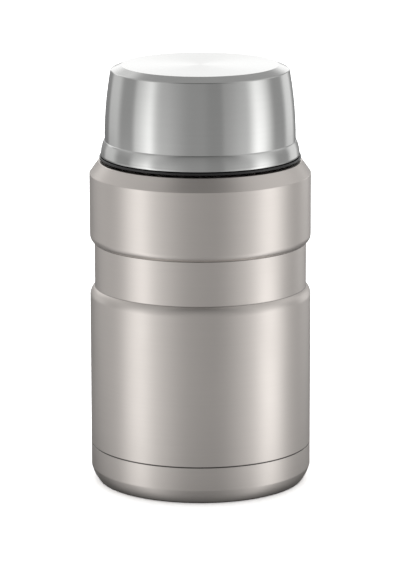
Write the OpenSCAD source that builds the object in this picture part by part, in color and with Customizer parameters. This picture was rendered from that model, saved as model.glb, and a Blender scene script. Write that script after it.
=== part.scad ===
// Insulated food jar: a double-walled steel body, an insulated stopper that screws on
// to the neck, and a double-walled steel lid that screws on to the stopper and serves
// as a bowl when it is turned over. Millimetres, +Z up, origin at the middle of the base.

/* [Body] */
// Outside diameter of the body
body_d = 102; // [98:0.5:112]
// Height of the straight wall, up to the crease of the shoulder
body_h = 144.6; // [135:0.1:190]
// Height of the sloped shoulder
shoulder_h = 5.7; // [4:0.1:8]
// How far the shoulder comes in at its top edge
shoulder_in = 4.8; // [3.5:0.1:6]
// Radius of the rounded edges of the shoulder
shoulder_edge_r = 0.8; // [0.3:0.1:1.5]
// Thickness of the steel sheet
sheet_t = 0.5; // [0.4:0.05:0.8]

/* [Base] */
// Height of the seam between the base cup and the body shell
seam_z = 17.3; // [12:0.1:25]
// Width of the seam's groove
seam_w = 0.5; // [0.3:0.1:1]
// How far the base cup reaches up inside the body shell
joggle_h = 4; // [2:0.5:8]
// Height of the rounded foot
foot_h = 6.6; // [4:0.1:9]
// How far the foot comes in at the bottom
foot_in = 3.4; // [2:0.1:4.5]
// Radius of the foot's curve
foot_r = 14; // [9:0.5:40]
// Width of the flat ring that the jar stands on
foot_ring_w = 2.6; // [1.5:0.1:5]
// Height of the recessed panel under the base
panel_rise = 2.5; // [1.5:0.1:4]
// Diameter of the steel plate that covers the sealed evacuation hole
plate_d = 58; // [40:1:76]
// Thickness of that plate
plate_t = 0.5; // [0.3:0.1:1]

/* [Grip band] */
// Height at which the lower edge of the grip band starts to curve in
grip_z = 87.4; // [60:0.1:95]
// Height of the whole grip band, with its curved edges
grip_h = 28.5; // [20:0.1:40]
// Depth of the grip band
grip_depth = 2.13; // [1:0.01:3]
// Radius of the curved edges of the grip band
grip_edge_r = 5.8; // [4:0.1:9]

/* [Neck] */
// How far the neck's wall stands in from the shoulder's top edge
neck_in = 8.8; // [8:0.1:10]
// Height of the neck above the shoulder
neck_h = 13.7; // [12.5:0.1:18]
// Radius of the fillet at the foot of the neck
neck_fillet_r = 1; // [0.5:0.1:1.3]

/* [Inner vessel] */
// Gap between the two walls, which holds the vacuum
vacuum_gap = 6.6; // [5.5:0.1:9]
// Gap between the two bottoms
bottom_gap = 6.9; // [5:0.1:12]
// Gap between the two walls inside the neck
neck_gap = 0.7; // [0.4:0.1:1]
// Inside radius of the vessel's bottom corner
vessel_corner_r = 12; // [6:0.5:20]
// Height of the vessel's curved shoulder
vessel_shoulder_h = 11; // [8:0.5:16]
// Distance from the top of the vessel's shoulder down from the body's shoulder edge
vessel_shoulder_drop = 3.5; // [2.5:0.1:8]
// Thickness of the heat-reflecting foil round the vessel
foil_t = 0.2; // [0.1:0.05:0.4]
// Diameter of the getter that keeps the vacuum
getter_d = 10; // [6:0.5:16]
// Height of the getter
getter_h = 2; // [1:0.1:3.5]
// Distance of the getter from the middle of the base
getter_offset = 18; // [14:0.5:26]
// Diameter of the evacuation hole
evac_hole_d = 2; // [1:0.1:3]
// Depth of the dimple round the evacuation hole
evac_dimple_h = 1.6; // [0.8:0.1:2.5]

/* [Threads] */
// Starts of each thread
thread_starts = 3; // [2:1:4]
// Distance between neighbouring ridges
thread_pitch = 5; // [4.5:0.1:6]
// Height of a ridge
thread_h = 1; // [0.8:0.05:1.2]
// Width of a ridge at its root
thread_root_w = 2.2; // [1.8:0.1:2.5]
// Width of a ridge at its crest
thread_crest_w = 1; // [0.6:0.1:1.2]
// Angle that each ridge covers
thread_span = 130; // [90:5:140]
// Clearance between a crest and the wall it faces
thread_gap = 0.4; // [0.3:0.05:0.6]
// Play along the axis between two mating ridges
thread_play = 0.35; // [0.25:0.05:0.6]

/* [Stopper] */
// Thickness of the stopper's skirt
skirt_t = 1.6; // [1.4:0.1:2.5]
// Height of the flange above the shoulder
flange_gap = 1; // [0.5:0.1:1.5]
// Thickness of the flange
flange_t = 1.6; // [1:0.1:2.5]
// How far the flange stands out past the lid's lip
flange_out = 0.5; // [0:0.1:1]
// Thickness of the stopper's deck
deck_t = 2.2; // [1.6:0.1:3]
// Depth of the plug below the rim of the neck
plug_depth = 21; // [14:0.5:24]
// Wall of the plug
plug_t = 1.5; // [1:0.1:2.5]
// Clearance between the plug and the vessel's neck
plug_gap = 0.6; // [0.4:0.1:1]
// Radius of the plug's bottom edge
plug_edge_r = 3; // [1:0.5:5]
// Thickness of the stopper's gasket
gasket_t = 1.5; // [1:0.1:2.5]
// Width of the foam between the plug's wall and the dish in the stopper's top
foam_side = 5.1; // [3:0.1:9]
// Depth of that dish
dish_depth = 8; // [5:0.5:10]
// Wall of that dish
dish_t = 1.5; // [1:0.1:2]
// Width of the grip bar across the dish
bar_w = 15; // [13.5:0.5:22]
// Chamfer along the grip bar's top edges
bar_chamfer = 1; // [0.5:0.1:2]

/* [Vent] */
// Diameter of the vent button
button_d = 10; // [9:0.1:10.5]
// Height of the vent button
button_h = 3; // [2:0.1:3.5]
// Travel of the vent button, until the stop under it meets the dish
vent_travel = 2; // [1:0.1:2]
// Diameter of the vent's stem
stem_d = 3.5; // [2.5:0.1:4]
// Diameter of the vent passage through the plug's bottom
vent_hole_d = 6.4; // [5.5:0.1:8]
// Width of the seal's contact round the vent passage
vent_seat_w = 3; // [1.5:0.1:4]
// Thickness of the vent seal
vent_seal_t = 1.5; // [1:0.1:2.5]
// Height of the head that holds the vent seal
stem_head_h = 1.2; // [0.8:0.1:2]
// Diameter of that head
stem_head_d = 6; // [5:0.1:7]
// Wire of the vent spring
spring_wire_d = 0.6; // [0.4:0.05:0.7]
// Turns of the vent spring
spring_turns = 4; // [3:0.5:4.5]

/* [Bowl lid] */
// Height of the bowl lid
bowl_h = 41.1; // [36:0.1:60]
// Gap between the lid's lip and the stopper's flange
lip_gap = 0.6; // [0.3:0.1:1]
// Height of the lid's lower band
band_h = 4; // [3:0.1:7]
// How far the lower band tapers in
band_taper = 0.45; // [0.2:0.05:0.8]
// How far the lip of the band flares out
lip_flare = 0.4; // [0.2:0.1:1]
// Height of that flared lip
lip_flare_h = 1.3; // [0.8:0.1:2]
// Height of the slope above the band
step_h = 2.3; // [1.5:0.1:4]
// How far that slope comes in
step_in = 1.15; // [0.6:0.05:1.6]
// Width of the fine ledge at the foot of the curved wall
ledge_w = 0.35; // [0.2:0.05:0.6]
// Height of that ledge
ledge_h = 0.3; // [0.1:0.05:0.5]
// How far the curved wall draws in towards the top
bowl_draw = 2.93; // [1.5:0.01:5]
// Height of the bevel round the top
bevel_h = 2.2; // [1.2:0.1:4]
// Width of the bevel round the top
bevel_in = 4.87; // [2:0.01:8]
// Wall of the lid's threaded ring
ring_t = 1.5; // [1.2:0.1:2]
// Thickness of the ring's shoulder above the seal
ring_shoulder_t = 1.5; // [1:0.1:2.5]
// Thickness of the lid's seal
seal_t = 1.5; // [1:0.1:2.5]
// Width of the lid's seal
seal_w = 3.2; // [2.5:0.1:5]
// Air gap between the lid's shell and its liner, at the side
bowl_air_gap = 1.4; // [1:0.1:2.5]
// Air gap between the lid's shell and its liner, at the top
bowl_top_gap = 2.4; // [1:0.1:5]
// Outside radius of the liner's corner
liner_corner_r = 9; // [5:0.5:14]

/* [Clearances] */
// Clearance between pieces fixed to each other
fit_gap = 0.1; // [0.05:0.01:0.2]
// Clearance at a seat between pieces that come apart
seat_gap = 0.2; // [0.1:0.05:0.4]
// Clearance between pieces that slide or turn past each other
run_gap = 0.3; // [0.2:0.05:0.5]

/* [Hidden] */

$fn = 96;
// Steps of an arc, of a small edge (up to edge_r_max) and of the lid's curved wall
arc_steps = 6;
edge_steps = 3;
edge_r_max = 2;
wall_steps = 12;
// A thread's ridge: degrees between its rings, how deep its root lies in the wall, the
// rings over which it runs out and how full it starts, its distance from the wall's end,
// and the angle at which the first ridge starts
ridge_step = 10;
ridge_sink = 0.3;
ridge_runout = 2;
ridge_start = 0.2;
ridge_end_gap = 0.4;
ridge_phase = 4;
// Rings in a turn of the spring's wire, and sides of the wire
spring_rings = 12;
spring_sides = 6;

// Small roundings of moulded and pressed edges, and the slope of the foot's inner wall
flange_edge_r = 0.6;
cap_edge_r = 0.8;
ring_edge_r = 0.6;
button_edge_r = 0.7;
bevel_edge_r = 0.8;
disc_edge_r = 0.4;
panel_edge_r = 1;
foot_wall_a = 30;

// Width of the flat round the evacuation hole
dimple_w = 3;

// Radii, from the axis outwards
body_r = body_d / 2;
ledge_r = body_r - shoulder_in;
neck_r = ledge_r - neck_in;
vessel_r = body_r - sheet_t - vacuum_gap;
vessel_neck_r = neck_r - sheet_t - neck_gap;
mouth_r = vessel_neck_r - sheet_t;
plug_r = mouth_r - plug_gap;
plug_in_r = plug_r - plug_t;
skirt_in_r = neck_r + thread_h + thread_gap;
skirt_r = skirt_in_r + skirt_t;
ring_in_r = skirt_r + thread_h + thread_gap;
ring_r = ring_in_r + ring_t;
bowl_r = ring_r + fit_gap + sheet_t;
band_r = bowl_r + step_in + band_taper;
lip_r = band_r + lip_flare;
flange_r = lip_r + flange_out;
disc_r = bowl_r - bowl_draw - bevel_in;
foot_r_bottom = body_r - foot_in;
foot_ring_in_r = foot_r_bottom - foot_ring_w;
panel_r = foot_ring_in_r - panel_rise * tan(foot_wall_a);
button_r = button_d / 2;
well_r = button_r + run_gap;
stem_r = stem_d / 2;
guide_r = stem_r + run_gap;
vent_hole_r = vent_hole_d / 2;
vent_seal_r = vent_hole_r + vent_seat_w;
spring_r = (guide_r + button_r) / 2;
stop_r = (guide_r + spring_r - spring_wire_d / 2) / 2;
dish_r = plug_in_r - foam_side - dish_t;
evac_r = evac_hole_d / 2;
dimple_r = evac_r + dimple_w;
joggle_r = body_r - sheet_t - fit_gap / 2;

// Heights, from the base up
seam_top = seam_z + seam_w;
ledge_z = body_h + shoulder_h;
lip_z = ledge_z + neck_h;
weld_z = lip_z - sheet_t;
vessel_floor_z = panel_rise + sheet_t + bottom_gap;
vessel_top_z = ledge_z - vessel_shoulder_drop;
vessel_shoulder_z = vessel_top_z - vessel_shoulder_h;
flange_z = ledge_z + flange_gap;
flange_top = flange_z + flange_t;
gasket_z = lip_z + seat_gap;
gasket_top = gasket_z + gasket_t;
deck_z = gasket_top + fit_gap;
stopper_top = deck_z + deck_t;
dish_z = stopper_top - dish_depth;
dish_floor_z = dish_z - dish_t;
plug_z = lip_z - plug_depth;
bowl_z = flange_top + lip_gap;
bowl_top = bowl_z + bowl_h;
band_top = bowl_z + band_h;
step_top = band_top + step_h;
bevel_z = bowl_top - bevel_h;
seal_z = stopper_top + run_gap;
seal_top = seal_z + seal_t;
ring_top = seal_top + fit_gap + ring_shoulder_t;
liner_top = bowl_top - sheet_t - bowl_top_gap;
button_z = stopper_top - seat_gap - button_h;
vent_seal_z = plug_z - seat_gap - vent_seal_t;
dimple_z = panel_rise + evac_dimple_h;

// Threads: each ridge climbs one lead in a turn. A mating ridge lies below its partner.
thread_lead = thread_starts * thread_pitch;
ridge_climb = thread_lead * thread_span / 360;
flank_reach = (thread_root_w + thread_crest_w) / 2
    - (thread_root_w - thread_crest_w) / 2 * thread_gap / thread_h;
mate_drop = flank_reach + thread_play;
ridge_margin = thread_root_w / 2 + ridge_end_gap;
neck_thread_z = weld_z - ridge_margin - ridge_climb;
cap_inner_thread_z = neck_thread_z - mate_drop;
cap_outer_thread_z = bowl_z + ridge_margin + mate_drop;
ring_thread_z = cap_outer_thread_z - mate_drop;

steel = [0.72, 0.70, 0.67];
bright_steel = [0.78, 0.78, 0.77];
black = [0.10, 0.10, 0.11];
silicone = [0.30, 0.31, 0.32];

// ---- Outlines. A point is [radius, height] or [radius, height, rounding], where the
// rounding is the radius of that corner. A path runs with the inside on its left.

function reverse(list) = [for (i = [len(list) - 1:-1:0]) list[i]];
function but_first(list) = [for (i = [1:len(list) - 1]) list[i]];
function but_last(list) = [for (i = [0:len(list) - 2]) list[i]];
function flat(p) = [p.x, p.y];

// Points along an arc about c, from angle a0 to a1
function arc(c, r, a0, a1, n = arc_steps) =
    [for (i = [0:n]) let (a = a0 + (a1 - a0) * i / n) c + r * [cos(a), sin(a)]];

// The arc about c from p to q, the short way round
function short_arc(c, p, q, n) =
    let (a0 = atan2(p.y - c.y, p.x - c.x), turn = atan2(q.y - c.y, q.x - c.x) - a0,
         sweep = turn > 180 ? turn - 360 : turn < -180 ? turn + 360 : turn)
    arc(c, norm(p - c), a0, a0 + sweep, n);

// An arc of radius r from p to q that bulges to the right of the way from p to q
function bow(p, q, r) =
    let (half = norm(q - p) / 2, u = (q - p) / (2 * half))
    short_arc((p + q) / 2 + sqrt(r * r - half * half) * [-u.y, u.x], p, q, arc_steps);

// The corner at q, between p and s, rounded with radius r
function corner(p, q, s, r) =
    let (u = (p - q) / norm(p - q), v = (s - q) / norm(s - q), half = acos(u * v) / 2,
         cut = r / tan(half), n = r > edge_r_max ? arc_steps : edge_steps)
    short_arc(q + (u + v) / norm(u + v) * r / sin(half), q + u * cut, q + v * cut, n);

// The path with its corners rounded
function rounded(path) =
    [for (i = [0:len(path) - 1])
        for (p = is_undef(path[i][2]) || path[i][2] <= 0 ? [flat(path[i])]
                : corner(flat(path[i - 1]), flat(path[i]), flat(path[i + 1]), path[i][2]))
            p];

function left_normal(a, b) = let (d = (b - a) / norm(b - a)) [-d.y, d.x];

// The path moved to its left by t. Corners that turn left get tighter, others wider.
function inset(path, t) =
    let (last = len(path) - 1)
    [for (i = [0:last])
        let (p = flat(path[i]),
             n0 = i > 0 ? left_normal(flat(path[i - 1]), p)
                : left_normal(p, flat(path[1])),
             n1 = i < last ? left_normal(p, flat(path[i + 1])) : n0,
             m = (n0 + n1) / norm(n0 + n1), q = p + m * t / (m * n1),
             r = is_undef(path[i][2]) ? 0 : path[i][2],
             turns_left = cross(n0, n1) > 0)
        [q.x, q.y, r == 0 ? 0 : turns_left ? r - t : r + t]];

// The closed outline of a sheet of thickness t on the left of the path
function sheet(path, t) = concat(rounded(path), reverse(rounded(inset(path, t))));

module ring_of(outline) rotate_extrude() polygon(outline);

module plain_ring(inner_r, outer_r, low, high)
    ring_of([[inner_r, low], [outer_r, low], [outer_r, high], [inner_r, high]]);

// ---- The body

// Height over which the edge of the grip band curves in
grip_edge_h = sqrt(pow(grip_edge_r, 2) - pow(grip_edge_r - grip_depth, 2));
grip_edge_a = asin(grip_edge_h / grip_edge_r);
grip_top = grip_z + grip_h;

function body_path() = concat(
    [[body_r, seam_top]],
    arc([body_r - grip_edge_r, grip_z], grip_edge_r, 0, grip_edge_a),
    arc([body_r - grip_edge_r, grip_top], grip_edge_r, -grip_edge_a, 0),
    [[body_r, body_h, shoulder_edge_r], [ledge_r, ledge_z, shoulder_edge_r],
     [neck_r, ledge_z, neck_fillet_r], [neck_r, weld_z]]);

module body_shell() {
    color(steel) {
        ring_of(sheet(body_path(), sheet_t));
        screw_ridges(neck_r, 1, neck_thread_z);
    }
}

// The panel rises to a dimple round the evacuation hole, and the cup's top edge is set
// in, so that the body shell slides over it and is welded along the seam
function base_path() = concat(
    [[evac_r, dimple_z], [dimple_r, dimple_z], [dimple_r + evac_dimple_h, panel_rise],
     [panel_r, panel_rise, panel_edge_r], [foot_ring_in_r, 0]],
    bow([foot_r_bottom, 0], [body_r, foot_h], foot_r),
    [[body_r, seam_z], [joggle_r, seam_z], [joggle_r, seam_top + joggle_h]]);

module base_cup() {
    color(steel) ring_of(sheet(base_path(), sheet_t));
}

// The vessel's shoulder is an S of two equal arcs
function vessel_path() =
    let (run = vessel_r - vessel_neck_r,
         r = (pow(vessel_shoulder_h, 2) + pow(run, 2)) / (4 * run),
         sweep = asin(vessel_shoulder_h / 2 / r))
    concat(
        [[0, vessel_floor_z], [vessel_r, vessel_floor_z, vessel_corner_r + sheet_t]],
        arc([vessel_r - r, vessel_shoulder_z], r, 0, sweep),
        but_first(reverse(arc([vessel_neck_r + r, vessel_top_z], r, 180, 180 + sweep))),
        [[vessel_neck_r, weld_z]]);

// The vessel's neck turns out over the body shell's neck, where the two are welded
module inner_vessel() {
    path = vessel_path();
    color(bright_steel) ring_of(concat(
        rounded(path),
        rounded([[vessel_neck_r, weld_z], [neck_r, weld_z], [neck_r, lip_z, sheet_t / 2],
                 [mouth_r, lip_z, sheet_t / 2], [mouth_r, weld_z]]),
        reverse(but_last(rounded(inset(path, sheet_t))))));
}

module reflecting_foil() {
    low = vessel_floor_z + vessel_corner_r + sheet_t;
    color("silver") plain_ring(vessel_r, vessel_r + foil_t, low, vessel_shoulder_z);
}

module getter() {
    color("dimgray") translate([getter_offset, 0, panel_rise + sheet_t])
        cylinder(d = getter_d, h = getter_h);
}

// Fills the dimple under the evacuation hole, and the hole
module sealing_bead() {
    color("saddlebrown") ring_of([
        [0, panel_rise], [dimple_r + evac_dimple_h, panel_rise], [dimple_r, dimple_z],
        [evac_r, dimple_z], [evac_r, dimple_z + sheet_t], [0, dimple_z + sheet_t]]);
}

module bottom_plate() {
    color(steel) translate([0, 0, panel_rise - plate_t]) cylinder(d = plate_d, h = plate_t);
}

// ---- The threads

// Corner points of one ridge: from the smaller radius to the larger and back, ring by
// ring. side is 1 for a ridge that stands outwards and -1 for one that stands inwards.
function ridge_points(root_r, side, z, count) =
    let (inner_w = side > 0 ? thread_root_w : thread_crest_w,
         outer_w = side > 0 ? thread_crest_w : thread_root_w)
    [for (i = [0:count])
        let (a = thread_span * i / count,
             full = min(1, (min(i, count - i) + ridge_start) / ridge_runout),
             tip_r = root_r + side * thread_h * full,
             sunk_r = root_r - side * ridge_sink,
             inner_r = min(tip_r, sunk_r), outer_r = max(tip_r, sunk_r),
             mid = z + ridge_climb * i / count)
        for (p = [[inner_r, -inner_w], [outer_r, -outer_w], [outer_r, outer_w],
                  [inner_r, inner_w]])
            [p[0] * cos(a), p[0] * sin(a), mid + p[1] / 2]];

// Faces of a tube made of rings of k points
function tube_faces(rings, k) = concat(
    [[for (j = [k - 1:-1:0]) j], [for (j = [0:k - 1]) (rings - 1) * k + j]],
    [for (i = [0:rings - 2]) for (j = [0:k - 1])
        let (a = i * k + j, b = i * k + (j + 1) % k)
        for (f = [[a, b, b + k], [a, b + k, a + k]]) f]);

// The ridges of a thread on a wall of radius root_r, whose lower ends are centred at z
module screw_ridges(root_r, side, z) {
    count = round(thread_span / ridge_step);
    for (s = [0:thread_starts - 1])
        rotate([0, 0, ridge_phase + 360 * s / thread_starts])
            polyhedron(ridge_points(root_r, side, z, count), tube_faces(count + 1, 4));
}

// ---- The stopper

module stopper_gasket() {
    inner_r = plug_r + seat_gap;
    edge = gasket_t / 3;
    color(silicone) ring_of(rounded([
        [inner_r, gasket_z], [neck_r, gasket_z, edge], [neck_r, gasket_top, edge],
        [inner_r, gasket_top]]));
}

// The cap's skirt covers the neck, and its flange shows between the lid and the body
module stopper_cap() {
    dish_out_r = dish_r + dish_t;
    color(black) {
        ring_of(rounded([
            [guide_r, dish_floor_z], [dish_out_r, dish_floor_z], [dish_out_r, deck_z],
            [skirt_in_r, deck_z], [skirt_in_r, flange_z],
            [flange_r, flange_z, flange_edge_r], [flange_r, flange_top, flange_edge_r],
            [skirt_r, flange_top], [skirt_r, stopper_top, cap_edge_r],
            [dish_r, stopper_top, cap_edge_r], [dish_r, dish_z], [guide_r, dish_z]]));
        grip_bar();
        screw_ridges(skirt_in_r, -1, cap_inner_thread_z);
        screw_ridges(skirt_r, 1, cap_outer_thread_z);
    }
}

// The bar across the dish, which the hand turns, with the well of the vent button
module grip_bar() {
    w = bar_w / 2;
    shoulder = dish_depth - bar_chamfer;
    difference() {
        intersection() {
            translate([0, 0, dish_z]) rotate([90, 0, 90])
                linear_extrude(height = 2 * dish_r + dish_t, center = true)
                    polygon([[-w, -dish_t / 2], [w, -dish_t / 2], [w, shoulder],
                             [w - bar_chamfer, dish_depth], [bar_chamfer - w, dish_depth],
                             [-w, shoulder]]);
            translate([0, 0, dish_floor_z]) cylinder(r = dish_r + dish_t / 2, h = 2 * dish_depth);
        }
        translate([0, 0, dish_z]) cylinder(r = well_r, h = 2 * dish_depth);
        translate([0, 0, dish_floor_z]) cylinder(r = guide_r, h = 2 * dish_t);
    }
}

// The plug hangs from the deck, to which its rim is welded
module stopper_plug() {
    color(black) ring_of(sheet(
        [[vent_hole_r, plug_z], [plug_r, plug_z, plug_edge_r], [plug_r, deck_z]], plug_t));
}

// Foam fills what the plug and the dish leave free
module stopper_foam() {
    low = plug_z + plug_t + fit_gap;
    high = deck_z - fit_gap;
    out_r = plug_in_r - fit_gap;
    dish_side_r = dish_r + dish_t + fit_gap;
    under_dish = dish_floor_z - fit_gap;
    color("khaki") ring_of(rounded([
        [vent_hole_r, low], [out_r, low, max(plug_edge_r - plug_t, 0)], [out_r, high],
        [dish_side_r, high], [dish_side_r, under_dish], [vent_hole_r, under_dish]]));
}

// Button, stop, stem and head are one moulding; the seal is stretched over the head
module vent_button() {
    top = stopper_top - seat_gap;
    head_r = stem_head_d / 2;
    stop_z = dish_z + vent_travel + fit_gap;
    color(silicone) ring_of(rounded([
        [0, vent_seal_z - stem_head_h], [head_r, vent_seal_z - stem_head_h],
        [head_r, vent_seal_z], [stem_r, vent_seal_z], [stem_r, stop_z], [stop_r, stop_z],
        [stop_r, button_z], [button_r, button_z], [button_r, top, button_edge_r],
        [0, top]]));
}

module vent_seal() {
    color("dimgray") plain_ring(stem_r, vent_seal_r, vent_seal_z, vent_seal_z + vent_seal_t);
}

// Corner points of a coil spring's wire, ring by ring
function spring_points(low, high) =
    let (count = round(spring_turns * spring_rings))
    [for (i = [0:count])
        let (a = 360 * spring_turns * i / count, z = low + (high - low) * i / count)
        for (j = [0:spring_sides - 1])
            let (b = 360 * j / spring_sides, r = spring_r + spring_wire_d / 2 * cos(b))
            [r * cos(a), r * sin(a), z + spring_wire_d / 2 * sin(b)]];

module vent_spring() {
    end = spring_wire_d / 2 + fit_gap / 2;
    color("silver") polyhedron(
        spring_points(dish_z + end, button_z - end),
        tube_faces(round(spring_turns * spring_rings) + 1, spring_sides));
}

// ---- The bowl lid

wall_h = bevel_z - step_top;
wall_arc_r = (pow(wall_h, 2) + pow(bowl_draw, 2)) / (2 * bowl_draw);

// Radius of the lid's curved wall at a height
function bowl_wall_r(z) =
    bowl_r - wall_arc_r + sqrt(pow(wall_arc_r, 2) - pow(z - step_top, 2));

// Outside radius of the threaded ring at its top, inside the curved wall
ring_head_r = bowl_wall_r(ring_top) - sheet_t - fit_gap;

function bowl_foot_path() = [
    [lip_r, bowl_z], [band_r, bowl_z + lip_flare_h],
    [band_r - band_taper, band_top], [bowl_r + ledge_w, step_top - ledge_h],
    [bowl_r, step_top]];

module bowl_shell() {
    wall = arc([bowl_r - wall_arc_r, step_top], wall_arc_r, 0, asin(wall_h / wall_arc_r),
        wall_steps);
    path = concat(but_last(bowl_foot_path()), but_last(wall), [
        [bowl_r - bowl_draw, bevel_z, bevel_edge_r], [disc_r, bowl_top, disc_edge_r],
        [0, bowl_top]]);
    color(bright_steel) ring_of(sheet(path, sheet_t));
}

// The liner's rim rests on the threaded ring, and its wall keeps off the shell
module bowl_liner() {
    back = sheet_t + bowl_air_gap;
    foot_r = bowl_wall_r(ring_top) - back;
    head_r = bowl_wall_r(liner_top) - back;
    path = [[foot_r, ring_top], [foot_r, ring_top + sheet_t],
        [head_r, liner_top, liner_corner_r], [0, liner_top]];
    color(bright_steel) ring_of(concat(
        [[ring_head_r, ring_top], [ring_head_r, ring_top + sheet_t]],
        but_first(rounded(path)), reverse(rounded(inset(path, sheet_t)))));
}

// The ring carries the lid's thread, and its shoulder holds the lid's seal
module bowl_ring() {
    foot = inset(concat(bowl_foot_path(), [[bowl_r, ring_top]]), sheet_t + fit_gap);
    low_z = bowl_z + run_gap;
    seal_in_r = ring_in_r - fit_gap - seal_w;
    groove_z = seal_top + fit_gap;
    color(black) {
        ring_of(rounded([
            [ring_in_r, groove_z], [ring_in_r, low_z, ring_edge_r],
            [foot[1].x, low_z, ring_edge_r], foot[2], foot[4], [ring_head_r, ring_top],
            [seal_in_r, ring_top], [seal_in_r, groove_z]]));
        screw_ridges(ring_in_r, -1, ring_thread_z);
    }
}

module bowl_seal() {
    outer_r = ring_in_r - seat_gap;
    inner_r = outer_r - seal_w;
    edge = seal_t / 3;
    color(silicone) ring_of(rounded([
        [inner_r, seal_top], [inner_r, seal_z, edge], [outer_r, seal_z, edge],
        [outer_r, seal_top]]));
}

body_shell();
base_cup();
inner_vessel();
reflecting_foil();
getter();
sealing_bead();
bottom_plate();
stopper_gasket();
stopper_cap();
stopper_plug();
stopper_foam();
vent_button();
vent_seal();
vent_spring();
bowl_seal();
bowl_shell();
bowl_liner();
bowl_ring();
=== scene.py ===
"""Looks of the insulated food jar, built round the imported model.

The scene is in metres. The jar stands on z = 0 and faces -Y. The sizes and outlines of pieces
are written in millimetres. A point of an outline is (radius, height), with a third value where
its corner is rounded."""
import math

import bpy
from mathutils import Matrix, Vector


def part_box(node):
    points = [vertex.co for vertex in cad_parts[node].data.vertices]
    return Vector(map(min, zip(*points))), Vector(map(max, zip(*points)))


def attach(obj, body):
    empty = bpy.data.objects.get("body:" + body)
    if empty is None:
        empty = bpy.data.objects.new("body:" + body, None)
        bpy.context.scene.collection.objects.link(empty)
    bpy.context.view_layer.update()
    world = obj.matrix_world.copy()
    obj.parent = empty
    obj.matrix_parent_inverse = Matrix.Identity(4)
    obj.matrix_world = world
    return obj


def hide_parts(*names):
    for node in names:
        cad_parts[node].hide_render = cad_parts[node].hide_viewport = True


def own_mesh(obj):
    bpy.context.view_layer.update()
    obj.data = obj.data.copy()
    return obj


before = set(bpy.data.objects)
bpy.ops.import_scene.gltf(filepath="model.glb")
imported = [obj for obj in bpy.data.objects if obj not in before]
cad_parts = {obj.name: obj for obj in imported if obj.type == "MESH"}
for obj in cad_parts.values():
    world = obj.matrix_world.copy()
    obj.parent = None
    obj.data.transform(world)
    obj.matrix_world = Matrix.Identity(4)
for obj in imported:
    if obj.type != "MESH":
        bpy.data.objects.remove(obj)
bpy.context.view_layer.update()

MM = 0.001
AXIS_R = 1e-6  # a smaller radius lies on the axis
SEGMENTS = 288  # round every turned piece
CORNER_STEP = 7.5  # degrees between points of a small rounding
CURVE_STEP = 2.5  # degrees between points of a large curve
WALL_STEP = 1.0  # degrees between points of the lid's wall
SHARP_ANGLE = 35.0  # degrees from which an edge is drawn sharp

# ---- Sizes. The frame's boxes give what the pieces share with the model


def low(node):
    """The lowest x, y and z of a CAD node."""
    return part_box(node)[0] / MM


def high(node):
    """The highest x, y and z of a CAD node."""
    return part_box(node)[1] / MM


SHEET = 0.5
BODY_R = high("body_shell").x
BODY_LOW = low("body_shell").z
NECK_TOP = high("body_shell").z
NECK_R = high("stopper_gasket").x
NECK_H = 13.6
NECK_ROOT_R = 1.0
LEDGE_Z = high("inner_vessel").z - NECK_H
SHOULDER_H = 5.9
SHOULDER_IN = 4.2
SHOULDER_EDGE_R = 0.6
LEDGE_R = BODY_R - SHOULDER_IN

GRIP_Z = 87.4
GRIP_H = 28.7
GRIP_DEPTH = 2.13
GRIP_LOW_EDGE_R = 5.8
GRIP_TOP_EDGE_R = 4.1
GRIP_CREASE_R = 0.2

SEAM_W = 0.5
SEAM_Z = BODY_LOW - SEAM_W
SEAM_EDGE_R = 0.15
JOGGLE_GAP = 0.05  # between the body's wall and the base cup's collar inside it
BASE_TOP = high("base_cup").z
FOOT_H = 6.6
FOOT_IN = 3.4
FOOT_R = 18.0
FOOT_EDGE_R = 1.8
FOOT_RING_W = 2.6
FOOT_WALL_A = 30.0
PANEL_RISE = high("bottom_plate").z
PANEL_EDGE_R = 1.0
HOLE_R = 1.0
DIMPLE_R = HOLE_R + 3.0
DIMPLE_H = 1.6

# The lid's foot, from the lip up: the flare, the band and the ledge under the wall
LIP_DROP = 0.33  # the lip hangs a little into the gap below it
LID_LOW = low("bowl_shell").z - LIP_DROP
LID_TOP = high("bowl_shell").z
LIP_R = high("bowl_shell").x
LIP_TUCK = 0.08  # its edge lies this far inside the lid's box
LIP_OUT = 2.0  # from the wall out to the lip
LIP_FLARE_H = 1.0
BAND_OUT = 1.75
BAND_R = 17.0
LEDGE_W = 0.35
LEDGE_H = 0.3
STEP_H = 6.98  # from the lip up to the wall
STEP_CREASE_R = 0.1
WALL_DRAW = 2.93
BEVEL_H = 2.2
BEVEL_IN = 4.87
BEVEL_EDGE_R = 0.8
DISC_EDGE_R = 0.4

CAP_TOP = high("stopper_cap").z
CAP_R = high("stopper_cap").x
FLANGE_RISE = 0.15
FLANGE_Z = low("stopper_cap").z + FLANGE_RISE
FLANGE_T = 1.1
FLANGE_EDGE_R = 0.35
SKIRT_GAP = 1.4  # round the neck, with room for the ridges
SKIRT_T = 1.6
SKIRT_IN_R = NECK_R + SKIRT_GAP
SKIRT_R = SKIRT_IN_R + SKIRT_T
DECK_T = 2.2
DECK_Z = CAP_TOP - DECK_T
DISH_DEPTH = 8.0
DISH_R = 27.0
DISH_Z = CAP_TOP - DISH_DEPTH
DISH_T = 1.5
DISH_EDGE_R = 0.8
GUIDE_R = 2.05  # the hole for the vent's stem
WELL_R = 5.3  # the hole for the vent's button
WELL_SEGMENTS = 96
BAR_W = 15.0
BAR_CHAMFER = 1.0
BAR_EDGE_R = 0.4
BAR_L = 54.5  # its ends lie in the wall of the dish
MOULD_R = 0.25  # rounding of small moulded corners
SPRING_TURNS = 4
SPRING_STEPS = 48  # in a turn
SPRING_WIRE_R = 0.3
SPRING_SIDES = 12

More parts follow.
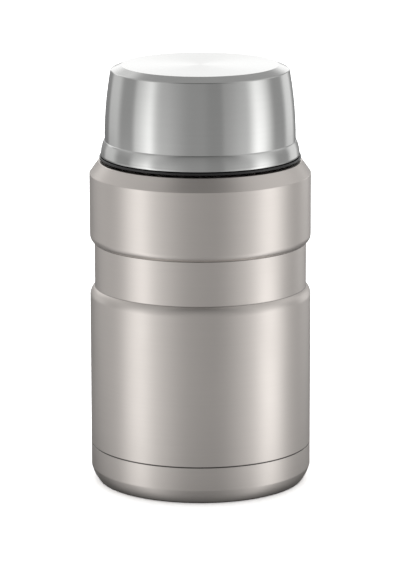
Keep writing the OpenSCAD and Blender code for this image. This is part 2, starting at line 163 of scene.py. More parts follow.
THREAD_STARTS = 3
THREAD_PITCH = 5.0
THREAD_H = 1.0
THREAD_ROOT_W = 2.2
THREAD_CREST_W = 1.0
THREAD_SPAN = 130.0
THREAD_PHASE = 4.0
THREAD_RUNOUT = 18.0  # degrees over which a ridge rises at each end
THREAD_RUNOUT_H = 0.02  # what is left of its height at the very end, as a share
THREAD_SUNK = 0.05  # a ridge's back lies this far under the surface
THREAD_RIBS = 16  # faces across a ridge
THREAD_CLIMB = THREAD_STARTS * THREAD_PITCH * THREAD_SPAN / 360
THREAD_MARGIN = THREAD_ROOT_W / 2 + 0.4  # from a ridge's end to the edge of its wall
MATE_DROP = 1.71  # how far a ridge lies below the one that it hangs from

# ---- Outlines


def arc(centre, radius, start, end, step=CURVE_STEP):
    """Points on an arc, from one angle to another in degrees."""
    count = max(1, math.ceil(abs(end - start) / step))
    angles = [math.radians(start + (end - start) * i / count) for i in range(count + 1)]
    return [(centre[0] + radius * math.cos(a), centre[1] + radius * math.sin(a)) for a in angles]


def arc_between(centre, p, q, radius, step=CURVE_STEP):
    """The shorter arc about a centre, from p to q."""
    start = math.degrees(math.atan2(p.y - centre.y, p.x - centre.x))
    end = math.degrees(math.atan2(q.y - centre.y, q.x - centre.x))
    return arc(centre, radius, start, start + (end - start + 180) % 360 - 180, step)


def arc_through(p, q, radius):
    """The arc from p to q that bulges to the right of the way from p to q."""
    p, q = Vector(p), Vector(q)
    half = (q - p) / 2
    left = Vector((-half.y, half.x)).normalized()
    centre = (p + q) / 2 + left * math.sqrt(radius ** 2 - half.length_squared)
    return arc_between(centre, p, q, radius)


def corner(p, q, s, radius):
    """The corner at q, between p and s, rounded."""
    p, q, s = Vector(p), Vector(q), Vector(s)
    u, v = (p - q).normalized(), (s - q).normalized()
    half = u.angle(v) / 2
    centre = q + (u + v).normalized() * radius / math.sin(half)
    a, b = q + u * radius / math.tan(half), q + v * radius / math.tan(half)
    return arc_between(centre, a, b, radius, CORNER_STEP)


def rounded(path):
    """The path with each corner that has a third value rounded by it."""
    points = []
    for i, point in enumerate(path):
        if len(point) > 2 and 0 < i < len(path) - 1:
            points += corner(path[i - 1][:2], point[:2], path[i + 1][:2], point[2])
        else:
            points.append(tuple(point[:2]))
    return points


def inset(points, distance):
    """The points moved to the left of their path."""
    moved = []
    for i, point in enumerate(points):
        here = Vector(point)
        before = Vector(points[i - 1]) if i else None
        after = Vector(points[i + 1]) if i + 1 < len(points) else None
        ways = [(b - a).normalized() for a, b in ((before, here), (here, after)) if a and b]
        normals = [Vector((-w.y, w.x)) for w in ways]
        middle = sum(normals, Vector((0, 0))).normalized()
        moved.append(tuple(here + middle * distance / middle.dot(normals[0])))
    return moved


def sheet(path):
    """The closed outline of a sheet on the left of the path.

    A left turn that is rounded by less than the sheet's thickness stays sharp on the left."""
    left = []
    for before, point, after in zip(path[:1] + path, path, path[1:] + path[-1:]):
        here = Vector(point[:2])
        turn = (here - Vector(before[:2])).cross(Vector(after[:2]) - here)
        left.append(point[:2] if turn > 0 and point[-1] <= SHEET else point)
    return rounded(path) + inset(rounded(left), SHEET)[::-1]


def grip_lean(radius):
    """The angle in radians by which an edge of that radius turns in to the grip band."""
    return math.acos(1 - GRIP_DEPTH / radius)


# ---- Meshes


def on_circle(radius, angle, height):
    """A point in metres, from sizes in millimetres and an angle in radians."""
    return (radius * MM * math.cos(angle), radius * MM * math.sin(angle), height * MM)


def smooth(share):
    """Eases a share from 0 to 1 at both ends."""
    return share * share * (3 - 2 * share)


def new_mesh(points, faces):
    """A mesh that takes its name when it is added to the scene."""
    mesh = bpy.data.meshes.new("mesh")
    mesh.from_pydata(points, [], faces)
    return mesh


def smooth_mesh(points, faces, sharp_angle=180.0):
    """A mesh that is shaded smooth, but for the edges above an angle."""
    mesh = new_mesh(points, faces)
    mesh.shade_smooth()
    mesh.set_sharp_from_angle(angle=math.radians(sharp_angle))
    return mesh


def outline_normals(outline):
    """A normal for each point, in which the longer side counts for more."""
    normals = []
    for i, point in enumerate(outline):
        total = Vector((0, 0))
        for a, b in ((outline[i - 1], point), (point, outline[(i + 1) % len(outline)])):
            if not (a[0] < AXIS_R and b[0] < AXIS_R):
                total += Vector((b[1] - a[1], a[0] - b[0]))
        normals.append(total.normalized())
    return normals


def turned(outline):
    """A mesh turned about Z from a closed outline, with the solid on the left of its path."""
    points, faces, normals, rings = [], [], [], []
    for (radius, height), (out, up) in zip(outline, outline_normals(outline)):
        count = 1 if radius < AXIS_R else SEGMENTS
        rings.append([len(points) + k for k in range(count)])
        for k in range(count):
            a = math.tau * k / SEGMENTS
            points.append(on_circle(radius, a, height))
            side = 0 if count == 1 else out
            normals.append(Vector((side * math.cos(a), side * math.sin(a), up)).normalized())
    for i, ring in enumerate(rings):
        following = rings[(i + 1) % len(rings)]
        if len(ring) == 1 and len(following) == 1:
            continue
        for k in range(SEGMENTS):
            n = (k + 1) % SEGMENTS
            if len(ring) == 1:
                faces.append((ring[0], following[n], following[k]))
            elif len(following) == 1:
                faces.append((ring[k], ring[n], following[0]))
            else:
                faces.append((ring[k], ring[n], following[n], following[k]))
    mesh = new_mesh(points, faces)
    mesh.normals_split_custom_set_from_vertices(normals)
    return mesh


def thread_mesh(root_r, start_z, side=1):
    """A thread's ridges, rounded ribs that fade out. Side is 1 outwards and -1 inwards.

    Each is closed, with its back and its ends just under the surface that it stands on."""
    points, faces = [], []
    steps, ring = int(THREAD_SPAN), THREAD_RIBS + 1
    flank_w = (THREAD_ROOT_W - THREAD_CREST_W) / 2
    for start in range(THREAD_STARTS):
        base = len(points)
        for i in range(steps + 1):
            turn = THREAD_SPAN * i / steps
            from_end = min(turn, THREAD_SPAN - turn)
            rise = max(THREAD_RUNOUT_H, smooth(min(1, from_end / THREAD_RUNOUT)))
            a = math.radians(THREAD_PHASE + 360 * start / THREAD_STARTS + turn)
            middle = start_z + THREAD_CLIMB * i / steps
            for j in range(ring):
                up = (j / THREAD_RIBS - 0.5) * THREAD_ROOT_W
                bump = smooth(min(1, (THREAD_ROOT_W / 2 - abs(up)) / flank_w))
                out = (THREAD_H + THREAD_SUNK) * bump * rise - THREAD_SUNK
                points.append(on_circle(root_r + side * out, a, middle + side * up))
        for i in range(steps):
            for j in range(ring):
                a, b = base + i * ring + j, base + i * ring + (j + 1) % ring
                faces.append((a, a + ring, b + ring, b))
        faces += [tuple(range(base, base + ring)),
                  tuple(range(len(points) - ring, len(points)))[::-1]]
    return smooth_mesh(points, faces)


def bar_mesh():
    """The stopper's grip bar: a rounded prism along X, with the well of the vent button."""
    half, foot = BAR_W / 2, DISH_Z - DISH_T / 2
    side = rounded([(half, foot), (half, CAP_TOP - BAR_CHAMFER, BAR_EDGE_R),
                    (half - BAR_CHAMFER, CAP_TOP, BAR_EDGE_R), (0, CAP_TOP)])[:-1]
    section = side + [(-y, z) for y, z in side[::-1]]
    count, middle = len(section), len(side)
    # The prism in two lengths, without its top and its foot, which have the well in them
    points = [(x, y, z) for x in (-BAR_L / 2, 0, BAR_L / 2) for y, z in section]
    faces = [tuple(range(count))[::-1], tuple(range(2 * count, 3 * count))]
    for b in (0, count):
        faces += [(b + i, b + i + 1, b + count + i + 1, b + count + i)
                  for i in range(count - 1) if i != middle - 1]
    # The well: rings of points from +Y round by +X
    rings = []
    for radius, height in ((WELL_R, foot), (WELL_R, CAP_TOP - MOULD_R),
                           (WELL_R + MOULD_R, CAP_TOP)):
        rings.append([len(points) + k for k in range(WELL_SEGMENTS)])
        turns = [math.tau * k / WELL_SEGMENTS for k in range(WELL_SEGMENTS)]
        points += [(radius * math.sin(a), radius * math.cos(a), height) for a in turns]
    for below, above in zip(rings, rings[1:]):
        for k in range(WELL_SEGMENTS):
            n = (k + 1) % WELL_SEGMENTS
            faces.append((below[k], below[n], above[n], above[k]))
    # The top and the underside, each in a half at +X and a half at -X of the well
    for ring, first, last, flip in ((rings[-1], middle - 1, middle, 1),
                                    (rings[0], 0, count - 1, -1)):
        right, left = ring[:WELL_SEGMENTS // 2 + 1], ring[WELL_SEGMENTS // 2:] + ring[:1]
        faces.append(tuple([count + last, 2 * count + last, 2 * count + first, count + first]
                           + right)[::flip])
        faces.append(tuple([count + first, first, last, count + last] + left)[::flip])
    return smooth_mesh([Vector(p) * MM for p in points], faces, SHARP_ANGLE)


def spring_mesh(low_z, high_z, radius):
    """A coil spring between two heights. The radius is that of its wire's middle."""
    points, faces = [], []
    steps = SPRING_STEPS * SPRING_TURNS
    first, last = low_z + SPRING_WIRE_R, high_z - SPRING_WIRE_R
    for i in range(steps + 1):
        a = math.tau * i / SPRING_STEPS
        height = first + (last - first) * i / steps
        for j in range(SPRING_SIDES):
            b = math.tau * j / SPRING_SIDES
            points.append(on_circle(radius + SPRING_WIRE_R * math.cos(b), a,
                                    height + SPRING_WIRE_R * math.sin(b)))
    for i in range(steps):
        for j in range(SPRING_SIDES):
            a, b = i * SPRING_SIDES + j, i * SPRING_SIDES + (j + 1) % SPRING_SIDES
            faces.append((a, a + SPRING_SIDES, b + SPRING_SIDES, b))
    faces += [tuple(range(SPRING_SIDES)),
              tuple(range(len(points) - SPRING_SIDES, len(points)))[::-1]]
    return smooth_mesh(points, faces, SHARP_ANGLE)


def add_object(name, data):
    """Names the data, and puts it into the scene under the same name."""
    data.name = name
    made = bpy.data.objects.new(name, data)
    bpy.context.scene.collection.objects.link(made)
    return made


def add_piece(name, mesh, body, slot, material, *nodes):
    """Puts a mesh into the scene, on a body, in the place of CAD nodes."""
    mesh.materials.append(material)
    piece = add_object(name, mesh)
    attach(piece, body)
    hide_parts(*nodes)
    return piece


# ---- Shader nodes

# A line of painted shade, with grime in the seam: full up to the first share of its half
# width, gone from the second on
SHADE_LINE_FULL, SHADE_LINE_GONE = 0.6, 1.2


class Shader:
    """The node tree of one material or of the world."""

    def __init__(self, owner):
        owner.use_nodes = True
        self.tree = owner.node_tree
        self.tree.nodes.clear()

    def node(self, kind, inputs, **settings):
        """Adds a node. An input is a value, or a socket to link it to."""
        made = self.tree.nodes.new("ShaderNode" + kind)
        for name, value in settings.items():
            setattr(made, name, value)
        for key, value in inputs.items():
            if isinstance(value, bpy.types.NodeSocket):
                self.tree.links.new(value, made.inputs[key])
            else:
                made.inputs[key].default_value = value
        return made

    def math(self, operation, *values):
        return self.node("Math", dict(enumerate(values)), operation=operation).outputs[0]

    def ramp(self, value, start, end, to_start=0.0, to_end=1.0):
        """Goes smoothly from one value to another while the input goes from start to end."""
        inputs = {0: value, 1: start, 2: end, 3: to_start, 4: to_end}
        return self.node("MapRange", inputs, interpolation_type="SMOOTHSTEP").outputs[0]

    def window(self, value, edges, strength=1.0):
        """Rises smoothly between the first two edges and falls between the last two."""
        return self.math("MULTIPLY", self.ramp(value, edges[0], edges[1]),
                         self.ramp(value, edges[2], edges[3], strength, 0.0))

    def noise(self, vector, scale, detail=2.0, roughness=0.5):
        inputs = {"Vector": vector, "Scale": scale, "Detail": detail, "Roughness": roughness}
        return self.node("TexNoise", inputs).outputs[0]

    def place(self):
        return self.node("TexCoord", {}).outputs["Object"]

    def spread(self, amount, low_value, high_value):
        """A value that follows amount, from 0 to 1."""
        return self.node("MapRange", {0: amount, 3: low_value, 4: high_value}).outputs[0]

    def choose(self, share, first, second):
        """The first value where share is 0 and the second where it is 1."""
        inputs = {0: share, 2: first, 3: second}
        return self.node("Mix", inputs, data_type="FLOAT").outputs[0]

    def multiply(self, colour, factor):
        inputs = {0: 1.0, 6: colour, 7: factor}
        return self.node("Mix", inputs, data_type="RGBA", blend_type="MULTIPLY").outputs[2]

    def tint(self, colour, amount, low_factor, high_factor):
        """The colour times a factor that follows amount, from 0 to 1."""
        return self.multiply((*colour, 1), self.spread(amount, low_factor, high_factor))

    def bump(self, height, distance, strength=1.0):
        """The normal for a height from 0 to 1. The distance is in metres."""
        inputs = {"Height": height, "Distance": distance, "Strength": strength}
        return self.node("Bump", inputs).outputs[0]

    def finish(self, kind, surface):
        out = self.node("Output" + kind, {})
        self.tree.links.new(surface, out.inputs["Surface"])


def new_material(name):
    made = bpy.data.materials.new(name)
    return made, Shader(made)


def grain_place(shader, along, across):
    """Coordinates for grain that runs round the axis on walls, slopes and flat tops.

    Along and across are how often it changes in a metre."""
    x, y, z = shader.node("SeparateXYZ", {0: shader.place()}).outputs
    radius = shader.math("SQRT", shader.math("ADD", shader.math("MULTIPLY", x, x),
                                             shader.math("MULTIPLY", y, y)))
    inputs = {0: shader.math("MULTIPLY", x, along),
              1: shader.math("MULTIPLY", y, along),
              2: shader.math("MULTIPLY", shader.math("ADD", z, radius), across)}
    return shader.node("CombineXYZ", inputs).outputs[0]


def steel(name, colour, roughness, anisotropy, grain, depth, shade_and_grime_lines=()):
    """Brushed steel with grain round the axis and slow changes of polish.

    The grain changes the colour by a share and the surface by a depth in metres. A line is
    a height in millimetres, its half width, and how much of the colour is left where it is
    darkened: by painted shade in a crease, by painted shade and grime in the seam."""
    made, shader = new_material(name)
    fine = shader.noise(grain_place(shader, along=60, across=4000), 1.0, 3.0)
    coarse = shader.noise(grain_place(shader, along=25, across=900), 1.0, 2.0)
    cloud = shader.noise(shader.place(), 30.0, 3.0)
    mixed = shader.math("ADD", shader.math("MULTIPLY", coarse, 0.6),
                        shader.math("MULTIPLY", cloud, 0.4))
    rough = shader.node("MapRange", {0: cloud, 1: 0.3, 2: 0.7, 3: roughness * 0.93,
                                     4: roughness * 1.07}).outputs[0]
    tangent = shader.node("Tangent", {}, direction_type="RADIAL", axis="Z").outputs[0]
    paint = shader.tint(colour, mixed, 1 - grain, 1 + grain)
    height = shader.node("SeparateXYZ", {0: shader.place()}).outputs[2]
    # Painted shade darkens the colour along each line; in the seam it stands for grime too
    for middle, half, left in shade_and_grime_lines:
        away = shader.math("ABSOLUTE", shader.math("SUBTRACT", height, middle * MM))
        here = shader.ramp(away, SHADE_LINE_FULL * half * MM, SHADE_LINE_GONE * half * MM, left, 1.0)
        paint = shader.multiply(paint, here)
    surface = shader.node("BsdfPrincipled", {
        "Base Color": paint,
        "Metallic": 1.0,
        "Roughness": rough,
        "Anisotropic": anisotropy,
        "Anisotropic Rotation": 0.25,
        "Tangent": tangent,
        "Normal": shader.bump(fine, depth),
    })
    shader.finish("Material", surface.outputs[0])
    return made


def plastic(name, colour, roughness, grain_scale, depth):
    """Moulded plastic with a fine spark-eroded texture, of a depth in metres."""
    made, shader = new_material(name)
    place = shader.place()
    grain = shader.noise(place, grain_scale, 2.0)
    cloud = shader.noise(place, 60.0, 3.0)
    surface = shader.node("BsdfPrincipled", {
        "Base Color": shader.tint(colour, cloud, 0.85, 1.15),
        "Roughness": shader.spread(cloud, roughness * 0.85, roughness * 1.15),
        "Normal": shader.bump(grain, depth),
    })
    shader.finish("Material", surface.outputs[0])
    return made


def rubber(name, colour):
    """Silicone rubber: dull, with a faint bloom and a soft waviness."""
    made, shader = new_material(name)
    place = shader.place()
    waves = shader.noise(place, 350.0, 2.0)
    bloom = shader.noise(place, 120.0, 4.0, 0.6)
    surface = shader.node("BsdfPrincipled", {
        "Base Color": shader.tint(colour, bloom, 0.85, 1.2),
        "Roughness": 0.62,
        "Specular IOR Level": 0.4,
        "Sheen Weight": 0.15,
        "Normal": shader.bump(waves, 30e-6),
    })
    shader.finish("Material", surface.outputs[0])
    return made


def foam(name, colour):
    """Rigid foam: closed cells of about half a millimetre under a broken skin."""
    made, shader = new_material(name)
    place = shader.place()
    cells = shader.node("TexVoronoi", {"Vector": place, "Scale": 1800.0}).outputs["Distance"]
    cloud = shader.noise(place, 90.0, 3.0)
    surface = shader.node("BsdfPrincipled", {
        "Base Color": shader.tint(colour, cloud, 0.85, 1.1),
        "Roughness": 0.9,
        "Normal": shader.bump(cells, 0.0003, 0.7),
    })
    shader.finish("Material", surface.outputs[0])
    return made


def foil(name, colour):
    """Bright foil, wrinkled where it was wrapped round the vessel."""
    made, shader = new_material(name)
    place = shader.place()
    wrinkles = shader.node("TexVoronoi", {"Vector": place, "Scale": 160.0},
                           feature="DISTANCE_TO_EDGE").outputs["Distance"]
    cloud = shader.noise(place, 40.0, 4.0)
    surface = shader.node("BsdfPrincipled", {
        "Base Color": shader.tint(colour, cloud, 0.92, 1.05),
        "Metallic": 1.0,
        "Roughness": shader.spread(cloud, 0.12, 0.3),
        "Normal": shader.bump(wrinkles, 0.0002, 0.8),
    })
    shader.finish("Material", surface.outputs[0])
    return made


def grainy(name, colour, metallic, roughness, scale, depth, coat=0.0):
    """Sintered metal, or fused glass with a glossy skin. The grains' depth is in metres."""
    made, shader = new_material(name)
    place = shader.place()
    grains = shader.noise(place, scale, 4.0, 0.7)
    surface = shader.node("BsdfPrincipled", {
        "Base Color": shader.tint(colour, grains, 0.6, 1.4),
        "Metallic": metallic,
        "Roughness": roughness,
        "Coat Weight": coat,
        "Coat Roughness": 0.06,
        "Normal": shader.bump(grains, depth),
    })
    shader.finish("Material", surface.outputs[0])
    return made


# ---- The materials, and the CAD nodes that only get a material

WARM_STEEL = (0.71, 0.666, 0.631)
NEUTRAL_STEEL = (0.62, 0.622, 0.612)
BLACK = (0.011, 0.011, 0.012)
# Painted shade and grime in the seam between the body and the base cup
SEAM_SHADE_AND_GRIME = ((SEAM_Z + BODY_LOW) / 2, 0.32, 0.15)
# Painted shade in the creases at the grip band's lower and upper edges
LOW_CREASE_SHADE = (GRIP_Z + GRIP_LOW_EDGE_R * math.sin(grip_lean(GRIP_LOW_EDGE_R)), 0.2, 0.65)
TOP_CREASE_SHADE = (GRIP_Z + GRIP_H - GRIP_TOP_EDGE_R * math.sin(grip_lean(GRIP_TOP_EDGE_R)),
                   0.22, 0.42)

body_steel = steel("body_steel", WARM_STEEL, roughness=0.36, anisotropy=0.1, grain=0.03,
                   depth=4e-6, shade_and_grime_lines=(SEAM_SHADE_AND_GRIME, TOP_CREASE_SHADE, LOW_CREASE_SHADE))
base_steel = steel("base_steel", WARM_STEEL, roughness=0.36, anisotropy=0.1, grain=0.03,
                   depth=4e-6, shade_and_grime_lines=(SEAM_SHADE_AND_GRIME,))
lid_steel = steel("lid_steel", NEUTRAL_STEEL, roughness=0.175, anisotropy=0.6, grain=0.04,
                  depth=3e-6)
vessel_steel = steel("vessel_steel", (0.66, 0.65, 0.63), roughness=0.16, anisotropy=0.3,
                     grain=0.02, depth=2e-6)
wire_steel = steel("spring_steel", (0.62, 0.62, 0.62), roughness=0.3, anisotropy=0.2,
                   grain=0.05, depth=3e-6)
black_plastic = plastic("black_plastic", BLACK, roughness=0.36, grain_scale=2500.0, depth=10e-6)
ring_plastic = plastic("ring_plastic", BLACK, roughness=0.40, grain_scale=2500.0, depth=10e-6)
plug_plastic = plastic("plug_plastic", (0.03, 0.03, 0.032), roughness=0.35,
                       grain_scale=3000.0, depth=5e-6)
button_plastic = plastic("button_plastic", (0.2, 0.205, 0.21), roughness=0.4,
                         grain_scale=2500.0, depth=8e-6)
silicone = rubber("silicone", (0.16, 0.165, 0.17))
pale_foam = foam("foam", (0.85, 0.80, 0.62))
bright_foil = foil("foil", (0.8, 0.8, 0.8))
sintered = grainy("getter", (0.25, 0.25, 0.26), metallic=0.9, roughness=0.75, scale=2500.0,
                  depth=100e-6)
fused_glass = grainy("sealing_glass", (0.30, 0.20, 0.12), metallic=0.0, roughness=0.25,
                     scale=900.0, depth=20e-6, coat=1.0)

for name, finish in {
    "inner_vessel": vessel_steel, "bottom_plate": base_steel, "reflecting_foil": bright_foil,
    "getter": sintered, "sealing_bead": fused_glass, "stopper_gasket": silicone,
    "stopper_plug": plug_plastic, "stopper_foam": pale_foam,
    "vent_button": button_plastic, "vent_seal": silicone,
    "bowl_seal": silicone, "bowl_liner": vessel_steel, "bowl_ring": ring_plastic,
}.items():
    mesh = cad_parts[name].data
    mesh.materials.clear()
    mesh.materials.append(finish)

# ---- The body shell, its thread and the base cup


def grip_edge(height, radius, side):
    """A curve by which the wall comes in to the grip band, from the wall inwards."""
    return arc((BODY_R - radius, height), radius, 0, side * math.degrees(grip_lean(radius)))


def grip_edges():
    """The band's lower edge and its upper one, from the wall to the wall again."""
    low_edge = grip_edge(GRIP_Z, GRIP_LOW_EDGE_R, 1)
    top_edge = grip_edge(GRIP_Z + GRIP_H, GRIP_TOP_EDGE_R, -1)[::-1]
    return low_edge[:-1] + [(*low_edge[-1], GRIP_CREASE_R),
                            (*top_edge[0], GRIP_CREASE_R)] + top_edge[1:]


def body_path():
    """From the seam up the wall with its grip band, the shoulder and the neck."""
    wall_top = LEDGE_Z - SHOULDER_H
    return [(BODY_R, BODY_LOW)] + grip_edges() + [
        (BODY_R, wall_top, SHOULDER_EDGE_R), (LEDGE_R, LEDGE_Z, SHOULDER_EDGE_R),
        (NECK_R, LEDGE_Z, NECK_ROOT_R), (NECK_R, NECK_TOP)]


def base_path():
    """From the hole past the dimple, the panel and the foot's ring up to the collar."""
    foot_r = BODY_R - FOOT_IN
    ring_in_r = foot_r - FOOT_RING_W
    panel_r = ring_in_r - PANEL_RISE * math.tan(math.radians(FOOT_WALL_A))
    dimple_z = PANEL_RISE + DIMPLE_H
    joggle_r = BODY_R - SHEET - JOGGLE_GAP
    foot = arc_through((foot_r, 0), (BODY_R, FOOT_H), FOOT_R)
    return [
        (HOLE_R, dimple_z), (DIMPLE_R, dimple_z), (DIMPLE_R + DIMPLE_H, PANEL_RISE),
        (panel_r, PANEL_RISE, PANEL_EDGE_R), (ring_in_r, 0)
    ] + foot[:-1] + [
        (*foot[-1], FOOT_EDGE_R), (BODY_R, SEAM_Z, SEAM_EDGE_R), (joggle_r, SEAM_Z),
        (joggle_r, BASE_TOP)]


neck_thread_z = NECK_TOP - THREAD_MARGIN - THREAD_CLIMB
add_piece("jar_body", turned(sheet(body_path())), "jar", "body_steel", body_steel, "body_shell")
add_piece("neck_thread", thread_mesh(NECK_R, neck_thread_z), "jar", "body_steel", body_steel)
add_piece("jar_base", turned(sheet(base_path())), "jar", "base_steel", base_steel, "base_cup")

# ---- The stopper's cap and the vent's spring


def cap_outline():
    """The skirt with its flange, the deck and the dish in it."""
    dish_out_r, dish_low = DISH_R + DISH_T, DISH_Z - DISH_T
    flange_top = FLANGE_Z + FLANGE_T
    return rounded([
        (GUIDE_R, dish_low), (dish_out_r, dish_low, MOULD_R), (dish_out_r, DECK_Z, MOULD_R),
        (SKIRT_IN_R, DECK_Z, MOULD_R), (SKIRT_IN_R, FLANGE_Z, MOULD_R),
        (CAP_R, FLANGE_Z, FLANGE_EDGE_R), (CAP_R, flange_top, FLANGE_EDGE_R),
        (SKIRT_R, flange_top, MOULD_R), (SKIRT_R, CAP_TOP, DISH_EDGE_R),
        (DISH_R, CAP_TOP, DISH_EDGE_R), (DISH_R, DISH_Z, MOULD_R), (GUIDE_R, DISH_Z)])


def add_to_cap(name, mesh, *nodes):
    add_piece(name, mesh, "stopper", "black_plastic", black_plastic, *nodes)


skirt_thread_in_z = neck_thread_z - MATE_DROP
skirt_thread_out_z = low("bowl_shell").z + THREAD_MARGIN + MATE_DROP
add_to_cap("stopper_skirt", turned(cap_outline()), "stopper_cap")
add_to_cap("stopper_bar", bar_mesh())
add_to_cap("skirt_thread_in", thread_mesh(SKIRT_IN_R, skirt_thread_in_z, side=-1))
add_to_cap("skirt_thread_out", thread_mesh(SKIRT_R, skirt_thread_out_z))

# The real spring shortens by as much as the button goes down; here the coil gets a mesh of its
# own
spring_low, spring_high = low("vent_spring").z, high("vent_spring").z
coil_r = high("vent_spring").x - SPRING_WIRE_R
coil = add_piece("spring_coil", spring_mesh(spring_low, spring_high, coil_r), "stopper",
                 "spring_steel", wire_steel, "vent_spring")
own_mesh(coil)

# ---- The bowl lid's shell


def lid_path():
    """From the lip up the foot and the wall, which bends in ever more, to the middle."""
    wall_r = LIP_R - LIP_OUT
    wall_low = LID_LOW + STEP_H
    bevel_z = LID_TOP - BEVEL_H
    wall_h = bevel_z - wall_low
    bend_r = (wall_h ** 2 + WALL_DRAW ** 2) / (2 * WALL_DRAW)
    lean = math.degrees(math.asin(wall_h / bend_r))
    wall = arc((wall_r - bend_r, wall_low), bend_r, 0, lean, WALL_STEP)
    band_low = (wall_r + BAND_OUT, LID_LOW + LIP_FLARE_H)
    ledge = (wall_r + LEDGE_W, wall_low - LEDGE_H)
    return [(LIP_R - LIP_TUCK, LID_LOW)] + arc_through(band_low, ledge, BAND_R) + [
        (*wall[0], STEP_CREASE_R)
    ] + wall[1:-1] + [
        (*wall[-1], BEVEL_EDGE_R), (wall[-1][0] - BEVEL_IN, LID_TOP, DISC_EDGE_R),
        (0, LID_TOP)]


add_piece("lid_shell", turned(sheet(lid_path())), "bowl_lid", "lid_steel", lid_steel,
          "bowl_shell")

# ---- The studio: a world of soft light panels, a white floor and the camera

# Light panels. In degrees, azimuth 0 at the front, 90 to the right and 180 at the back:
# where the light starts, is full, stops being full and ends; the same for the elevation;
# and its strength
PANELS = [
    ((-92, -82, -65, -47), (-80, -34, -12, 42), 0.48),
    ((-84, -67, -66, -54), (-80, -34, -12, 42), 0.42),
    ((-72, -60, -50, -8), (-80, -34, -12, 42), 0.30),
    ((-132, -106, -50, -15), (-85, -40, -18, -6), 0.10),
    ((-120, -102, -84, -70), (-85, -40, -18, -6), 0.09),
    ((-178, -160, -128, -112), (-85, -50, -16, -2), -0.04),
    ((-150, -120, -60, -30), (5, 35, 60, 85), 0.30),
    ((-149, -139, -123, -108), (-18, -8, 9, 20), 0.37),
    ((-168, -157, -140, -130), (8, 16, 32, 42), 0.75),
    ((57, 75, 82, 105), (-80, -34, -12, 42), 0.90),
    ((26, 31, 80, 90), (-80, -34, -12, 42), 0.09),
    ((28, 60, 73, 88), (-80, -34, -12, 42), 0.24),
    ((2, 14, 24, 30), (-80, -34, 30, 50), -0.05),
    ((30, 50, 112, 128), (-85, -40, -18, -6), 0.06),
    ((88, 98, 108, 124), (-85, -40, -18, -6), 0.08),
    ((118, 135, 165, 180), (-85, -50, -18, -8), -0.13),
    ((40, 70, 120, 150), (5, 35, 60, 85), 0.42),
    ((119, 133, 146, 158), (-16, -8, 9, 20), 0.56),
    ((158, 169, 190, 201), (-3, 5, 14, 32), 0.90),
    ((100, 150, 210, 260), (15, 45, 80, 100), 0.20),
    ((55, 78, 150, 178), (-85, -60, -32, -18), -0.06),
    ((140, 172, 218, 250), (-85, -55, -16, 4), -0.18),
    ((165, 175, 185, 198), (-85, -55, -16, 0), -0.25),
    ((-60, -25, 25, 60), (50, 64, 78, 90), -0.06),
]
# The room's own light: elevation and level
ROOM = [(-90, 0.33), (-55, 0.38), (-10, 0.405), (8, 0.39), (66, 0.20), (90, 0.23)]
# What dull surfaces see: the level on average, and how much more of it from the back
DULL_LEVEL, DULL_BACK = 1.0, 0.6

FLOOR_R = 6000.0
FLOOR_SEGMENTS = 96
FLOOR_WHITE = 0.9
FLOOR_SEEN_WHITE = 1.68  # to the camera, where it meets the white background
# Painted shadow: the grey that metal sees of the floor where the jar is near
PAINTED_SHADOW_GREY = 0.02  # what metal reflects of the floor close to the jar
SHADE_REACH = 150.0
SHADE_SAMPLES = 8
SHADE_MARGIN = 1.0  # from the foot's ring in to the floor under the jar, which is left out

# The photograph's view, 12.6 degrees down: metres, degrees and a lens in millimetres
CAMERA_PLACE = (0, -1.5675, 0.4416)
CAMERA_TURN = (77.4, 0.11, -0.017)
CAMERA_LENS = 218.9
CAMERA_REACH = 50  # metres


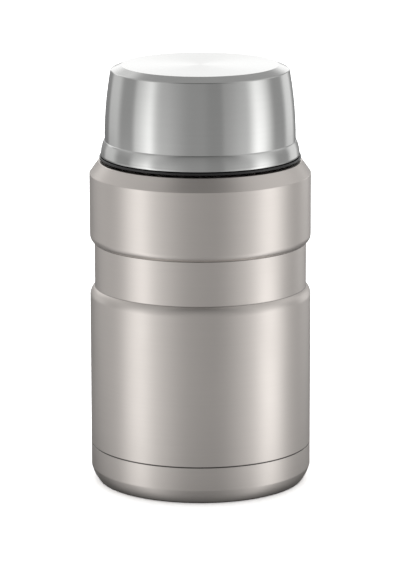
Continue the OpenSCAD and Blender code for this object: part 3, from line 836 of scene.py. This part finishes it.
def make_world():
    """Metal reflects the panels and the room. Dull surfaces are lit at a plain level."""
    world = bpy.data.worlds.new("studio")
    bpy.context.scene.world = world
    world.cycles.sampling_method = "NONE"
    shader = Shader(world)
    way = shader.node("SeparateXYZ", {0: shader.node("TexCoord", {}).outputs["Generated"]})
    x, y, z = way.outputs
    front = shader.math("MULTIPLY", y, -1.0)
    azimuth = shader.math("DEGREES", shader.math("ARCTAN2", x, front))
    whole = shader.math("WRAP", azimuth, 360.0, 0.0)
    height = shader.math("DEGREES", shader.math("ARCSINE", z))
    light = ROOM[0][1]
    for (start, before), (end, after) in zip(ROOM, ROOM[1:]):
        light = shader.math("ADD", light, shader.ramp(height, start, end, 0.0, after - before))
    for turn, rise, strength in PANELS:
        across = shader.window(whole if turn[3] > 180 else azimuth, turn)
        tall = shader.window(height, rise, strength)
        light = shader.math("ADD", light, shader.math("MULTIPLY", across, tall))
    rays = shader.node("LightPath", {}).outputs
    dull = shader.math("ADD", shader.math("MULTIPLY", y, DULL_BACK), DULL_LEVEL)
    level = shader.choose(rays["Is Diffuse Ray"], light, dull)
    level = shader.choose(rays["Is Camera Ray"], level, 1.0)
    background = shader.node("Background", {"Color": (1, 1, 1, 1), "Strength": level})
    shader.finish("World", background.outputs[0])


def make_floor():
    """A round white floor that keeps the jar's shadow and isn't seen from below.

    Metal sees it only close to the jar, as a painted shadow in deep grey."""
    made, shader = new_material("floor")
    rays = shader.node("LightPath", {}).outputs
    white = shader.choose(rays["Is Camera Ray"], FLOOR_WHITE, FLOOR_SEEN_WHITE)
    lit = shader.node("BsdfDiffuse", {"Color": white}).outputs[0]
    clear = shader.node("BsdfTransparent", {}).outputs[0]
    # Painted shadow for glossy rays: grey where ambient occlusion finds the jar near, clear
    # elsewhere and under the jar
    painted_shadow_bsdf = shader.node("BsdfDiffuse", {"Color": (*[PAINTED_SHADOW_GREY] * 3, 1)}).outputs[0]
    open_sky = shader.node("AmbientOcclusion", {"Distance": SHADE_REACH * MM},
                           samples=SHADE_SAMPLES).outputs["AO"]
    spot = shader.node("VectorMath", {0: shader.place()}, operation="LENGTH").outputs["Value"]
    under = shader.math("LESS_THAN", spot, (BODY_R - FOOT_IN - SHADE_MARGIN) * MM)
    bare = shader.math("MAXIMUM", open_sky, under)
    painted_shadow = shader.node("MixShader", {0: bare, 1: painted_shadow_bsdf, 2: clear}).outputs[0]
    upper = shader.node("MixShader", {0: rays["Is Glossy Ray"], 1: lit, 2: painted_shadow}).outputs[0]
    below = shader.node("NewGeometry", {}).outputs["Backfacing"]
    shader.finish("Material", shader.node("MixShader", {0: below, 1: upper, 2: clear}).outputs[0])
    ring = [on_circle(FLOOR_R, math.tau * k / FLOOR_SEGMENTS, 0) for k in range(FLOOR_SEGMENTS)]
    mesh = new_mesh(ring, [tuple(range(FLOOR_SEGMENTS))])
    mesh.materials.append(made)
    add_object("floor", mesh)


def make_camera():
    camera = add_object("camera", bpy.data.cameras.new("camera"))
    camera.data.lens = CAMERA_LENS
    camera.data.clip_end = CAMERA_REACH
    camera.location = CAMERA_PLACE
    camera.rotation_euler = [math.radians(turn) for turn in CAMERA_TURN]
    bpy.context.scene.camera = camera


make_world()
make_floor()
make_camera()
bpy.context.scene.view_settings.view_transform = "Standard"
